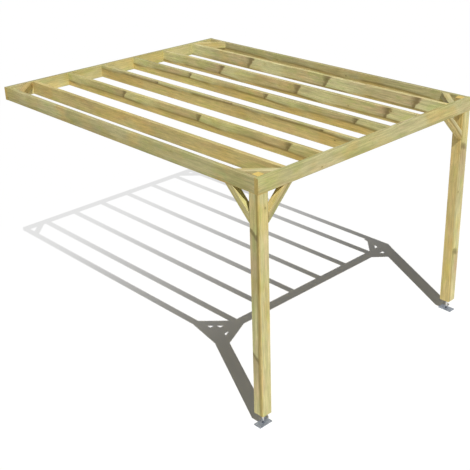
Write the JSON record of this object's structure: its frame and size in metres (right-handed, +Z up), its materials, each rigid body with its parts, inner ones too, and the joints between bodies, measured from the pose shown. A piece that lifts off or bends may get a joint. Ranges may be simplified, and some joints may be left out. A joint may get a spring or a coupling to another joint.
{
  "type": "lean-to wooden pergola",
  "caption": "Wall-mounted timber pergola: a flat roof of rafters between a wall ledger and a front beam, on braced corner posts with steel feet.",
  "frame": {"origin": "middle of the wall ledger's back face, on the wall plane, half way up the ledger", "axes": "+Z up, +Y into the wall, so the front is towards -Y, and +X to the right of someone who faces the wall"},
  "size_m": [3.09, 4.04, 2.5],
  "materials": {
    "timber": "planed pressure-treated softwood, greenish yellow, uncoated",
    "steel": "hot-dip galvanised, dull blue-grey"
  },
  "bodies": {
    "root": {"front_beam": "timber", "wall_ledger": "timber", "left_side_beam": "timber", "right_side_beam": "timber", "rafter_1": "timber", "rafter_2": "timber", "rafter_3": "timber", "rafter_4": "timber", "rafter_5": "timber", "rafter_6": "timber", "left_post": "timber", "right_post": "timber", "left_front_knee_brace": "timber", "left_side_knee_brace": "timber", "front_left_corner_brace": "timber", "back_left_corner_brace": "timber", "right_front_knee_brace": "timber", "right_side_knee_brace": "timber", "front_right_corner_brace": "timber", "back_right_corner_brace": "timber", "left_base_plate": "steel", "left_foot_stem": "steel", "left_head_plate": "steel", "right_base_plate": "steel", "right_foot_stem": "steel", "right_head_plate": "steel"}
  },
  "joints": []
}
